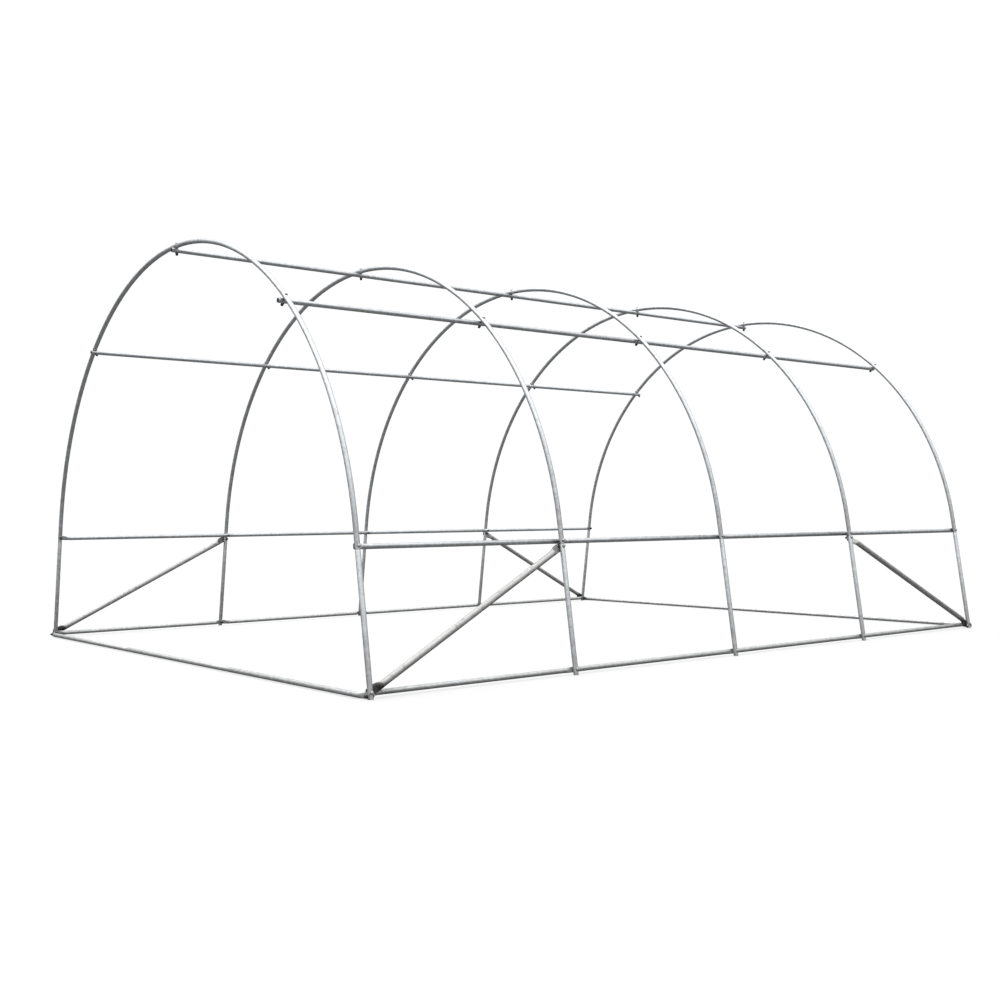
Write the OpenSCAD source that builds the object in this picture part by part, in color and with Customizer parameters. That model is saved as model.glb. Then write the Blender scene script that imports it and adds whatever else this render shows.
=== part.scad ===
// Bare frame of a walk-in polytunnel: five round-tube hoops on splayed legs, tied together by
// base rails, hip rails, three roof purlins and four corner braces with flattened ends.
// Millimetres. X runs across the tunnel, Y along it (front end at -Y), Z up, floor at Z = 0.

/* [Overall] */
// Distance between the leg axes of one hoop, measured on the floor
span = 3000; // [2600:10:3120]
// Height of the tube axis at the crown of a hoop
crown_height = 1798; // [1750:1:2200]
// Distance from one hoop to the next
bay = 945; // [700:5:1300]
// Angle by which each leg leans inwards
leg_lean = 8.5; // [6.6:0.1:10]

/* [Tube] */
// Outside diameter of the frame tube
tube_d = 20; // [18:0.5:28]
// Wall thickness of every tube
tube_wall = 1.2; // [0.8:0.1:1.6]
// Outside diameter of the corner brace tube
brace_d = 25; // [20:0.5:30]

/* [Swaged joints] */
// Height of the joint between leg and bow, measured up the leg
leg_joint = 513; // [440:1:514]
// Length along the bow from a shoulder purlin up to the seam above it
shoulder_seam = 15; // [12:1:24]
// Length of the reduced end that slides into the next tube
spigot_len = 45; // [25:1:60]
// Thickness of the shoulder at the root of a reduced end
collar = 2; // [1:0.5:4]
// Gap all round between a reduced end and the tube it slides into
spigot_gap = 0.3; // [0.1:0.1:0.5]
// Gap left at each seam between two tubes
seam_gap = 0.3; // [0.1:0.1:0.5]

/* [Rails and purlins] */
// Angle of the shoulder purlins from the vertical, seen from the centre of the bow
shoulder_angle = 41; // [34:0.5:48]
// Height of the hip rails, measured up the leg
hip_height = 525; // [520:1:560]
// Height of the base rails across the two ends, above the floor
end_rail_height = 13; // [12:1:16]
// How far the purlins run past the first hoop
front_overhang = 24; // [6:1:60]
// How far the purlins run past the last hoop
back_overhang = 12; // [6:1:60]
// Distance from a hoop to the seam between two rail sections
seam_offset = 34; // [25:1:60]
// Distance of the two joints of an end rail from the middle of the tunnel
end_joint = 500; // [350:5:650]

/* [Flattened ends] */
// Slit left between the two walls of a tube end that is pressed flat
flat_slit = 0.2; // [0.1:0.1:0.6]
// Length of a flattened end past its bolt
tab_end = 9.5; // [6:0.5:10]
// Width of a flattened end of frame tube
tab_width = 22; // [18:1:23]
// Length from the bolt of a rail to where its tube starts to open out
tab_reach = 14; // [12:1:30]
// Length over which a rail opens out from its flattened end to the round tube
tab_taper = 34; // [30:1:80]

/* [Braces] */
// Height of the bolt at a leg's foot that holds base rail and brace, measured up the leg
foot_bolt = 22; // [18:1:30]
// Height of the upper brace bolt, measured up the leg
brace_head = 503; // [440:1:504]
// Width of a flattened brace end
brace_tab_width = 34; // [30:1:35]
// Length from the bolt of a brace to where the tube starts to open out
brace_reach = 34; // [26:1:45]
// Length over which a brace opens out to the round tube
brace_taper = 24; // [20:1:50]
// Height up the leg below which the lower flat of a brace is cut away
brace_foot_cut = 3; // [3:1:6]
// Distance below the hip rail's axis above which the upper flat of an inner brace is cut away
brace_top_cut = 8; // [8:0.5:14]

/* [Clearance] */
// Gap between two tubes or flats that are bolted together
seat_gap = 0.3; // [0.2:0.1:0.5]

/* [Hidden] */
HOOPS = [1 : 5];
BAYS = [1 : 4];

$fn = 64;
// Facets round a swept bow, and round the tube end of a taper.
BOW_FACETS = 180;
TAPER_FACETS = 32;
// How far a cutting tool runs past the surface it cuts, as a length and as an angle.
past = 1;
past_angle = 0.5;
// Thickness of the slice a taper starts with.
slice = 0.1;
// How far a taper reaches into the flat and into the round tube.
lap = 1;
// Distance from the start of a taper to where it becomes hollow.
solid_stretch = 6;

tube_r = tube_d / 2;
bore_r = tube_r - tube_wall;
spigot_r = bore_r - spigot_gap;
spigot_bore_r = spigot_r - tube_wall;

// The bow is an arc that is tangent to both legs and touches the crown height.
bow_r = (span / 2 - crown_height * tan(leg_lean)) / (1 / cos(leg_lean) - tan(leg_lean));
bow_z = crown_height - bow_r;
// Place up the leg where the straight stretch of the hoop ends and the arc begins.
tangent_height = (bow_z + bow_r * sin(leg_lean)) / cos(leg_lean);
// Angle above the horizontal at which the side section of a bow meets the crown section.
seam_from_x = 90 - shoulder_angle + arc_angle(shoulder_seam);

// Distance of a rail's axis from the axis of the hoop that carries it.
rail_offset = tube_d + seat_gap;
// How much smaller a taper is where it enters the flat or the round tube.
inset = tube_wall / 2;
tab_thickness = 2 * tube_wall + flat_slit;
// Distance from a leg's axis to the middle of the first and of the second flattened end on it.
first_tab = tube_r + seat_gap + tab_thickness / 2;
second_tab = first_tab + tab_thickness + seat_gap;

steel = [0.72, 0.74, 0.76];
steel_light = [0.82, 0.83, 0.84];

// Angle at the centre of the bow that spans a length along it.
function arc_angle(length) = length / bow_r * 180 / PI;

// Place along Y of hoop number i, counted from 1 at the front; hoop 3 stands in the middle.
function hoop_y(i) = (i - 3) * bay;

// Distance from the middle of a flattened end to the axis of its tube: one side stays flush.
function rise_to_axis(radius) = radius - tab_thickness / 2;

// ---- tube shapes, all along +Z from Z = 0 ----

module round_tube(length, outer_r, inner_r) {
    difference() {
        cylinder(h = length, r = outer_r);
        translate([0, 0, -past]) cylinder(h = length + 2 * past, r = inner_r);
    }
}

// Tube whose upper end is reduced so that it slides into the next tube.
module swaged_tube(length) {
    difference() {
        union() {
            cylinder(h = length, r = tube_r);
            cylinder(h = length + spigot_len, r = spigot_r);
        }
        translate([0, 0, -past]) cylinder(h = length - collar + past, r = bore_r);
        cylinder(h = length + spigot_len + past, r = spigot_bore_r);
    }
}

// Solid that opens out from a flat slot to a short round whose middle stands off along X.
module taper(length, width, thickness, radius, stand_off) {
    hull() {
        translate([-thickness / 2, -width / 2, 0]) cube([thickness, width, slice]);
        translate([stand_off, 0, length - 2 * lap])
            cylinder(h = 2 * lap, r = radius - inset, $fn = TAPER_FACETS);
    }
}

// Flattened tube end with its bolt at Z = 0. The flat lies across X; the tube's axis stands off
// to +X and its round part starts at Z = reach + opening. past_bolt is the length past the bolt.
module flat_end(radius, width, reach, opening, past_bolt) {
    stand_off = rise_to_axis(radius);
    translate([-tab_thickness / 2, -width / 2, -past_bolt])
        cube([tab_thickness, width, past_bolt + reach]);
    difference() {
        translate([0, 0, reach - lap])
            taper(opening + 2 * lap, width - 2 * inset, tab_thickness - inset, radius, stand_off);
        translate([0, 0, reach + solid_stretch])
            taper(opening + lap + past - solid_stretch, width - 4 * tube_wall, flat_slit,
                radius - tube_wall, stand_off);
    }
}

// Tube with both ends flattened; length is from bolt to bolt.
module flat_ended_tube(length, radius, width, reach, opening, past_bolt) {
    start = reach + opening;
    flat_end(radius, width, reach, opening, past_bolt);
    translate([0, 0, length])
        mirror([0, 0, 1]) flat_end(radius, width, reach, opening, past_bolt);
    translate([rise_to_axis(radius), 0, start])
        round_tube(length - 2 * start, radius, radius - tube_wall);
}

// ---- frames of reference ----

// Puts a child into the right-hand wall: child Z runs up the leg of a hoop at y, child X outwards.
module up_right_leg(y) {
    translate([span / 2, y, 0]) rotate([0, -leg_lean, 0]) children();
}

// Shows a child on the right-hand side as it is, or mirrored to the left-hand side.
module on_side(left) {
    mirror([left ? 1 : 0, 0, 0]) children();
}

// Puts a child into the plane of a bow: X and Y as seen from the front, turned by an angle.
module in_bow(y, angle) {
    translate([0, y, bow_z]) rotate([90, 0, 0]) rotate([0, 0, angle]) children();
}

// Round bar swept about the centre of a bow by an angle.
module bow_sweep(angle, radius) {
    rotate_extrude(angle = angle, $fn = BOW_FACETS) translate([bow_r, 0]) circle(r = radius);
}

// ---- hoop pieces ----

// Leg from the floor to the joint, cut level at the floor.
module leg(y) {
    difference() {
        up_right_leg(y) translate([0, 0, -tube_d]) swaged_tube(leg_joint + tube_d);
        translate([span / 2 - 2 * tube_d, y - 2 * tube_d, -4 * tube_d]) cube(4 * tube_d);
    }
}

// Side section of a bow: a straight stub over the leg's reduced end, then the arc up to the
// shoulder seam.
module side_bow(y) {
    stub = tangent_height - leg_joint - seam_gap;
    sweep = seam_from_x - leg_lean;
    in_bow(y, leg_lean) {
        difference() {
            bow_sweep(sweep, tube_r);
            rotate([0, 0, -past_angle]) bow_sweep(sweep + 2 * past_angle, bore_r);
        }
        translate([bow_r, 0, 0]) rotate([90, 0, 0]) round_tube(stub, tube_r, bore_r);
    }
}

// Middle section of a bow, with a reduced end that slides down into each side section.
module crown_bow(y) {
    start = seam_from_x + arc_angle(seam_gap);
    tip = start - arc_angle(spigot_len);
    inner = start + arc_angle(collar);
    in_bow(y, 0)
        difference() {
            union() {
                rotate([0, 0, start]) bow_sweep(180 - 2 * start, tube_r);
                rotate([0, 0, tip]) bow_sweep(180 - 2 * tip, spigot_r);
            }
            rotate([0, 0, inner]) bow_sweep(180 - 2 * inner, bore_r);
            rotate([0, 0, tip - past_angle])
                bow_sweep(180 - 2 * (tip - past_angle), spigot_bore_r);
        }
}

// ---- rails ----

// Run of swaged sections along +Y that goes past the first hoop by one length and past the last
// hoop by another; a length below nought ends it short of the hoop. Both end sections have their
// reduced end inwards, so the run is open at both ends.
module rail_run(past_first, past_last) {
    first = hoop_y(1) - past_first;
    last = hoop_y(5) + past_last;
    seams = [hoop_y(2) + seam_offset, hoop_y(3) + seam_offset, hoop_y(4) - seam_offset];
    along_y(first) swaged_tube(seams[0] - first);
    along_y(seams[0] + seam_gap) swaged_tube(seams[1] - seams[0] - seam_gap);
    along_y(seams[1] + seam_gap)
        round_tube(seams[2] - seams[1] - 2 * seam_gap, tube_r, bore_r);
    translate([0, last, 0]) rotate([90, 0, 0]) swaged_tube(last - seams[2]);
}

// Turns a tube that stands along Z so that it runs along +Y from a given place.
module along_y(from) {
    translate([0, from, 0]) rotate([-90, 0, 0]) children();
}

// Hip rail, whose outermost ends are flattened and lie against the corner legs.
module hip_rail() {
    stretch = tab_reach + tab_taper;
    up_right_leg(0) translate([0, 0, hip_height]) {
        translate([-rail_offset, 0, 0]) rail_run(-stretch, -stretch);
        for (back = [0, 1])
            mirror([0, back, 0])
                translate([-first_tab, hoop_y(1), 0])
                    rotate([90, 0, 180])
                        flat_end(tube_r, tab_width, tab_reach, tab_taper, tab_end);
    }
}

// Purlin inside the bows, at an angle from the vertical towards the right.
module purlin(angle) {
    reach = bow_r - rail_offset;
    translate([reach * sin(angle), 0, bow_z + reach * cos(angle)])
        rotate([0, angle, 0]) rail_run(front_overhang, back_overhang);
}

// Side base rail of bay i. Its front end lies over the back end of the rail before it. At the
// corner legs it lies over the brace where the brace is on the same side of the leg.
module base_rail(i, over_brace) {
    corner_tab = over_brace ? second_tab : first_tab;
    front_tab = i == 1 ? corner_tab : second_tab;
    back_tab = i == 4 ? corner_tab : first_tab;
    shift = front_tab - back_tab;
    length = sqrt(bay * bay + shift * shift);
    up_right_leg(0)
        translate([-front_tab, hoop_y(i), foot_bolt])
            rotate([0, 0, -asin(shift / length)])
                rotate([90, 0, 180])
                    flat_ended_tube(length, tube_r, tab_width, tab_reach, tab_taper, tab_end);
}

// Base rail across the front end: two end sections with flattened outer ends and a middle one.
module end_rail() {
    half = span / 2 - end_rail_height * tan(leg_lean);
    start = tab_reach + tab_taper;
    stand_off = rise_to_axis(tube_r);
    translate([0, hoop_y(1) - first_tab, end_rail_height]) {
        for (side = [0, 1])
            mirror([side, 0, 0])
                translate([-half, 0, 0])
                    rotate([0, 90, 0])
                        rotate([0, 0, -90]) {
                            flat_end(tube_r, tab_width, tab_reach, tab_taper, tab_end);
                            translate([stand_off, 0, start])
                                swaged_tube(half - end_joint - start);
                        }
        translate([-end_joint + seam_gap, -stand_off, 0])
            rotate([0, 90, 0]) round_tube(2 * (end_joint - seam_gap), tube_r, bore_r);
    }
}

// ---- braces ----

// Brace in the side wall, from the foot of the front corner leg up to the next leg. Its flat
// ends lie against the inner or the outer face of the legs and are cut off along the legs' edge;
// its tube lies in the plane of the legs.
module brace(inner_face) {
    rise = brace_head - foot_bolt;
    length = sqrt(rise * rise + bay * bay);
    spare = 2 * brace_tab_width;
    up_right_leg(hoop_y(1))
        mirror([inner_face ? 0 : 1, 0, 0])
            translate([-first_tab, 0, 0])
                difference() {
                    translate([0, 0, foot_bolt])
                        rotate([-atan2(bay, rise), 0, 0])
                            flat_ended_tube(length, brace_d / 2, brace_tab_width, brace_reach,
                                brace_taper, tab_end + brace_tab_width / 2);
                    translate([-spare / 2, -tab_end - spare, -spare])
                        cube([spare, spare, brace_head + spare]);
                    translate([-spare / 2, bay + tab_end, 0])
                        cube([spare, spare, brace_head + spare]);
                    translate([-spare / 2, -spare, brace_foot_cut - spare])
                        cube([spare, 2 * spare, spare]);
                    if (inner_face)
                        translate([-spare / 2, bay - spare, hip_height - brace_top_cut])
                            cube([spare, 2 * spare, spare]);
                }
}

// Shows a child at the front end as it is, or mirrored to the back end.
module at_end(back) {
    mirror([0, back ? 1 : 0, 0]) children();
}

// ---- nodes ----

module left_leg(i) { color(steel) on_side(true) leg(hoop_y(i)); }
module right_leg(i) { color(steel) on_side(false) leg(hoop_y(i)); }
module left_bow(i) { color(steel) on_side(true) side_bow(hoop_y(i)); }
module right_bow(i) { color(steel) on_side(false) side_bow(hoop_y(i)); }
module crown_bow_at(i) { color(steel) crown_bow(hoop_y(i)); }
module left_base_rail(i) { color(steel) on_side(true) base_rail(i, false); }
module right_base_rail(i) { color(steel) on_side(false) base_rail(i, true); }
module front_base_rail() { color(steel) at_end(false) end_rail(); }
module back_base_rail() { color(steel) at_end(true) end_rail(); }
module left_hip_rail() { color(steel) on_side(true) hip_rail(); }
module right_hip_rail() { color(steel) on_side(false) hip_rail(); }
module left_purlin() { color(steel) purlin(-shoulder_angle); }
module ridge_purlin() { color(steel) purlin(0); }
module right_purlin() { color(steel) purlin(shoulder_angle); }
module front_left_brace() { color(steel_light) at_end(false) on_side(true) brace(false); }
module front_right_brace() { color(steel_light) at_end(false) on_side(false) brace(true); }
module back_left_brace() { color(steel_light) at_end(true) on_side(true) brace(false); }
module back_right_brace() { color(steel_light) at_end(true) on_side(false) brace(true); }

for (i = HOOPS) {
    left_leg(i);
    right_leg(i);
    left_bow(i);
    right_bow(i);
    crown_bow_at(i);
}
for (i = BAYS) {
    left_base_rail(i);
    right_base_rail(i);
}
front_base_rail();
back_base_rail();
left_hip_rail();
right_hip_rail();
left_purlin();
ridge_purlin();
right_purlin();
front_left_brace();
front_right_brace();
back_left_brace();
back_right_brace();
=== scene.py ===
"""Bare frame of a walk-in polytunnel: hoops, rails, purlins, corner braces and their bolts."""

import logging
import math
from dataclasses import dataclass, field
from enum import Enum
from typing import Callable, Optional, Sequence, Union

import bmesh
import bpy
from mathutils import Matrix, Vector


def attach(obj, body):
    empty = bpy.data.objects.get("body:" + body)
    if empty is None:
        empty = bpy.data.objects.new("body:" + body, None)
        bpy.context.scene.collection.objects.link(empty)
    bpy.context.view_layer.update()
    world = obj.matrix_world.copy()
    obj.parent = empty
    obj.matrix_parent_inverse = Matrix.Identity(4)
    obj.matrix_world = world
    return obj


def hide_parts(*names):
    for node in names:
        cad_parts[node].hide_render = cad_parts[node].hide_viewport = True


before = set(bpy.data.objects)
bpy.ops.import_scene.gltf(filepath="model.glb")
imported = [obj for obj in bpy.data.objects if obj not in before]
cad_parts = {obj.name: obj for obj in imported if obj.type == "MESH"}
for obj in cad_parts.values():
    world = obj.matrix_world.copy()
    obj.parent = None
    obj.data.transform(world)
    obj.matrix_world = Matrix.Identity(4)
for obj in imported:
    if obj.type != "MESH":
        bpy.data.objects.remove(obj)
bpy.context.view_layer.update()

LOG = logging.getLogger("polytunnel")

HOOPS = range(1, 6)
BAYS = range(1, 5)
Y_AXIS = Vector((0, 1, 0))
Z_AXIS = Vector((0, 0, 1))
# a tube modelled along Z with its flats across X, laid along Y or along X with its round side inwards
ALONG_WALL = Matrix(((-1, 0, 0, 0), (0, 0, 1, 0), (0, 1, 0, 0), (0, 0, 0, 1)))
ACROSS_END = Matrix(((0, 0, 1, 0), (-1, 0, 0, 0), (0, -1, 0, 0), (0, 0, 0, 1)))


class Bound(Enum):
    """Base of the tunnel's walls and ends, whose values are their signs."""

    @property
    def label(self) -> str:
        """Word for this one in a piece's name."""
        return self.name.lower()


class Side(Bound):
    """The two long walls of the tunnel."""

    LEFT = -1
    RIGHT = 1


class End(Bound):
    """The two ends of the tunnel."""

    FRONT = -1
    BACK = 1


@dataclass(frozen=True)
class Layout:
    """Sizes that every sub-assembly shares, in metres and radians."""

    half_span: float = 1.5
    crown_height: float = 1.798
    bay: float = 0.945
    lean: float = math.radians(8.5)
    tube_r: float = 0.010
    wall: float = 0.0012
    seat_gap: float = 0.0003
    flat: float = 0.0026
    leg_joint: float = 0.513
    shoulder_angle: float = math.radians(41)
    shoulder_seam: float = 0.015
    hip_height: float = 0.525
    foot_bolt: float = 0.022
    brace_head: float = 0.503
    end_rail_height: float = 0.013

    @property
    def bow_r(self) -> float:
        """Radius of the bow's axis."""
        reach = self.half_span - self.crown_height * math.tan(self.lean)
        return reach / (1 / math.cos(self.lean) - math.tan(self.lean))

    @property
    def bow_z(self) -> float:
        """Height of the bow's centre."""
        return self.crown_height - self.bow_r

    @property
    def tangent_height(self) -> float:
        """Length up the leg at which the arc begins."""
        return (self.bow_z + self.bow_r * math.sin(self.lean)) / math.cos(self.lean)

    @property
    def seam_angle(self) -> float:
        """Angle above the horizontal of the seam over a shoulder purlin."""
        return math.pi / 2 - self.shoulder_angle + self.shoulder_seam / self.bow_r

    @property
    def rail_offset(self) -> float:
        """Distance between the axis of a hoop and the axis of a rail bolted to it."""
        return 2 * self.tube_r + self.seat_gap

    @property
    def first_tab(self) -> float:
        """Distance from a leg's axis to the middle of the first flat against it."""
        return self.tube_r + self.seat_gap + self.flat / 2

    @property
    def second_tab(self) -> float:
        """Distance from a leg's axis to the middle of the second flat against it."""
        return self.first_tab + self.flat + self.seat_gap

    def hoop_y(self, number: int) -> float:
        """Place of a hoop along the tunnel; hoop 3 stands in the middle."""
        return (number - 3) * self.bay

    def leg_frame(self, side: Side, y: float = 0.0) -> Matrix:
        """Frame in a side wall.

        Args:
            side: The wall.
            y: Place along the tunnel.

        Returns:
            Matrix whose Z runs up the leg's axis from the floor and whose X points outwards.
        """
        right = Matrix.Translation((self.half_span, y, 0)) @ Matrix.Rotation(-self.lean, 4, "Y")
        return mirror_x(side) @ right

    def bow_point(self, angle: float, radius: float, y: float = 0.0) -> Vector:
        """Point at a radius and at an angle above the horizontal, seen from the bow's centre."""
        return Vector((radius * math.cos(angle), y, self.bow_z + radius * math.sin(angle)))


def mirror_x(side: Side) -> Matrix:
    """Keeps the right side as it is and mirrors it for the left side."""
    return Matrix.Diagonal((side.value, 1, 1, 1))


def mirror_y(end: End) -> Matrix:
    """Keeps the front end as it is and mirrors it for the back end."""
    return Matrix.Diagonal((1, -end.value, 1, 1))


def deselect_all() -> None:
    """Leaves every object unselected, in object mode."""
    if bpy.context.mode != "OBJECT":
        bpy.ops.object.mode_set(mode="OBJECT")
    bpy.ops.object.select_all(action="DESELECT")


def take(piece: bpy.types.Object) -> None:
    """Makes one object the only selected and active one."""
    deselect_all()
    piece.select_set(True)
    bpy.context.view_layer.objects.active = piece


def edit_whole(piece: bpy.types.Object) -> None:
    """Opens a piece in edit mode with all of its mesh selected."""
    take(piece)
    bpy.ops.object.mode_set(mode="EDIT")
    bpy.ops.mesh.select_mode(type="VERT")
    bpy.ops.mesh.select_all(action="SELECT")


def face_outwards(piece: bpy.types.Object) -> None:
    """Turns all faces of a closed piece outwards."""
    edit_whole(piece)
    bpy.ops.mesh.normals_make_consistent(inside=False)
    bpy.ops.object.mode_set(mode="OBJECT")


def copy_piece(source: bpy.types.Object, name: str, place: Matrix) -> bpy.types.Object:
    """Copies a modelled piece to a place.

    Args:
        source: The piece that was modelled once.
        name: Name of the copy.
        place: Matrix from the source's frame to the tunnel's frame.

    Returns:
        The copy, with its own mesh and its place in that mesh.
    """
    twin = source.copy()
    twin.data = source.data.copy()
    twin.name = name
    twin.data.name = name
    bpy.context.scene.collection.objects.link(twin)
    take(twin)
    twin.matrix_world = place
    bpy.ops.object.transform_apply(location=True, rotation=True, scale=True)
    if place.determinant() < 0:
        face_outwards(twin)
    return twin


def join_pieces(parts: Sequence[bpy.types.Object], name: str) -> bpy.types.Object:
    """Joins pieces into one and names it."""
    take(parts[0])
    for part in parts:
        part.select_set(True)
    bpy.ops.object.join()
    whole = bpy.context.active_object
    whole.name = name
    whole.data.name = name
    return whole


def drop(*sources: bpy.types.Object) -> None:
    """Removes the pieces that copies were taken from."""
    for source in sources:
        bpy.data.objects.remove(source)


class Sweep:
    """A tube drawn out of one ring, which is extruded, spun and resized in edit mode."""

    SMOOTH_ANGLE = math.radians(32)

    def __init__(self, name: str, centre: Vector, heading: Vector, radius: float,
                 sides: int = 32) -> None:
        """Lays the first ring.

        Args:
            name: Name of the piece.
            centre: Middle of the ring.
            heading: Direction in which the tube sets off.
            radius: Radius of the ring.
            sides: Number of corners of the ring.
        """
        deselect_all()
        turn = Z_AXIS.rotation_difference(heading).to_euler()
        bpy.ops.mesh.primitive_circle_add(vertices=sides, radius=radius, fill_type="NOTHING",
                                          location=centre, rotation=turn)
        bpy.ops.object.transform_apply(location=True, rotation=True, scale=True)
        self.piece = bpy.context.active_object
        self.piece.name = name
        self.piece.data.name = name
        self.centre = centre.copy()
        self.heading = heading.normalized()
        self.radius = radius
        edit_whole(self.piece)

    def resize(self, radius: float) -> "Sweep":
        """Scales the ring at the end of the tube to a radius."""
        factor = radius / self.radius
        bpy.ops.transform.resize(value=(factor,) * 3, center_override=self.centre)
        self.radius = radius
        return self

    def straight(self, length: float, radius: Optional[float] = None) -> "Sweep":
        """Draws the tube on along its heading.

        Args:
            length: How far; nothing or less than nothing for a rim or for the bore.
            radius: New radius at the far end, or None to keep it.

        Returns:
            The sweep itself.
        """
        step = self.heading * length
        bpy.ops.mesh.extrude_region_move(TRANSFORM_OT_translate={"value": step})
        self.centre += step
        if radius is not None:
            self.resize(radius)
        return self

    def bend(self, angle: float, pivot: Vector, axis: Vector, steps: int = 1,
             radius: Optional[float] = None) -> "Sweep":
        """Draws the tube on round a pivot.

        Args:
            angle: Right-handed angle about the axis.
            pivot: A point on the axis.
            axis: Direction of the axis.
            steps: Number of rings added.
            radius: New radius at the far end, or None to keep it.

        Returns:
            The sweep itself.
        """
        bpy.ops.mesh.spin(steps=steps, angle=-angle, center=pivot, axis=axis)
        turn = Matrix.Rotation(angle, 4, axis)
        self.centre = pivot + turn @ (self.centre - pivot)
        self.heading = (turn @ self.heading).normalized()
        if radius is not None:
            self.resize(radius)
        return self

    def section(self, step: Vector, scale: tuple[float, float]) -> "Sweep":
        """Extrudes the ring by a step and scales it apart in X and in Y."""
        bpy.ops.mesh.extrude_region_move(TRANSFORM_OT_translate={"value": step})
        self.centre += step
        bpy.ops.transform.resize(value=(scale[0], scale[1], 1), center_override=self.centre)
        return self

    def pick(self, wanted: Callable[[Vector], bool]) -> None:
        """Selects the corners of the mesh at the wanted places."""
        mesh = bmesh.from_edit_mesh(self.piece.data)
        for corner in mesh.verts:
            corner.select_set(wanted(corner.co))
        mesh.select_flush_mode()
        bmesh.update_edit_mesh(self.piece.data)

    def finish(self) -> bpy.types.Object:
        """Closes both ends, turns the faces outwards and shades the round parts smooth."""
        bpy.ops.mesh.select_all(action="SELECT")
        bpy.ops.mesh.fill_holes(sides=0)
        bpy.ops.mesh.select_all(action="SELECT")
        bpy.ops.mesh.normals_make_consistent(inside=False)
        bpy.ops.object.mode_set(mode="OBJECT")
        bpy.ops.object.shade_smooth_by_angle(angle=self.SMOOTH_ANGLE)
        return self.piece


@dataclass(frozen=True)
class TubeEnd:
    """How a cut tube end and a reduced end look, in metres."""

    chamfer: float = 0.0004
    bore_depth: float = 0.070
    neck: float = 0.0022
    shoulder: float = 0.0030
    neck_drop: float = 0.0013

    def open_start(self, name: str, rim: Vector, heading: Vector, size: Layout) -> Sweep:
        """Starts a tube at an open end.

        Args:
            name: Name of the piece.
            rim: Middle of the open end.
            heading: Direction from the rim into the tube.
            size: Shared sizes.

        Returns:
            The sweep, standing just past the rim with the tube's full radius.
        """
        bore_r = size.tube_r - size.wall
        floor = rim + heading * self.bore_depth
        sweep = Sweep(name, floor, -heading, bore_r)
        sweep.straight(self.bore_depth)
        sweep.straight(0.0, size.tube_r - self.chamfer)
        sweep.heading = -sweep.heading
        return sweep.straight(self.chamfer, size.tube_r)

    def open_stop(self, sweep: Sweep, size: Layout) -> Sweep:
        """Ends a tube at an open end just ahead, with its rim and its bore."""
        sweep.straight(self.chamfer, size.tube_r - self.chamfer)
        sweep.straight(0.0, size.tube_r - size.wall)
        return sweep.straight(-self.bore_depth)

    def seam(self, sweep: Sweep, size: Layout, reduced_first: bool = True) -> Sweep:
        """Passes a seam: one tube is reduced and slides into the other one's open end.

        Args:
            sweep: The tube, standing where the seam's shoulder or rim begins.
            size: Shared sizes.
            reduced_first: Whether the tube behind has the reduced end.

        Returns:
            The sweep past the seam.
        """
        neck_r = size.tube_r - self.neck_drop
        if reduced_first:
            sweep.straight(self.shoulder, neck_r).straight(self.neck)
            sweep.straight(0.0, size.tube_r - self.chamfer)
            return sweep.straight(self.chamfer, size.tube_r)
        sweep.straight(self.chamfer, size.tube_r - self.chamfer).straight(0.0, neck_r)
        return sweep.straight(self.neck).straight(self.shoulder, size.tube_r)

    @property
    def seam_length(self) -> float:
        """Length that a seam takes up along the tube."""
        return self.shoulder + self.neck + self.chamfer


Value = Union["Wire", float]


class Wire:
    """An output socket that takes part in sums; each operation adds one Math node."""

    def __init__(self, sheet: "Shader", socket: bpy.types.NodeSocket) -> None:
        """Wraps a socket of a shader's node tree."""
        self.sheet = sheet
        self.socket = socket

    def _math(self, operation: str, first: Value, second: Value) -> "Wire":
        """Adds one Math node."""
        return self.sheet.node("ShaderNodeMath", {"operation": operation}, {0: first, 1: second})

    def __add__(self, other: Value) -> "Wire":
        """Sum."""
        return self._math("ADD", self, other)

    def __radd__(self, other: Value) -> "Wire":
        """Sum, number first."""
        return self._math("ADD", other, self)

    def __sub__(self, other: Value) -> "Wire":
        """Difference."""
        return self._math("SUBTRACT", self, other)

    def __rsub__(self, other: Value) -> "Wire":
        """Difference, number first."""
        return self._math("SUBTRACT", other, self)

    def __mul__(self, other: Value) -> "Wire":
        """Product."""
        return self._math("MULTIPLY", self, other)

    def __rmul__(self, other: Value) -> "Wire":
        """Product, number first."""
        return self._math("MULTIPLY", other, self)


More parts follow.
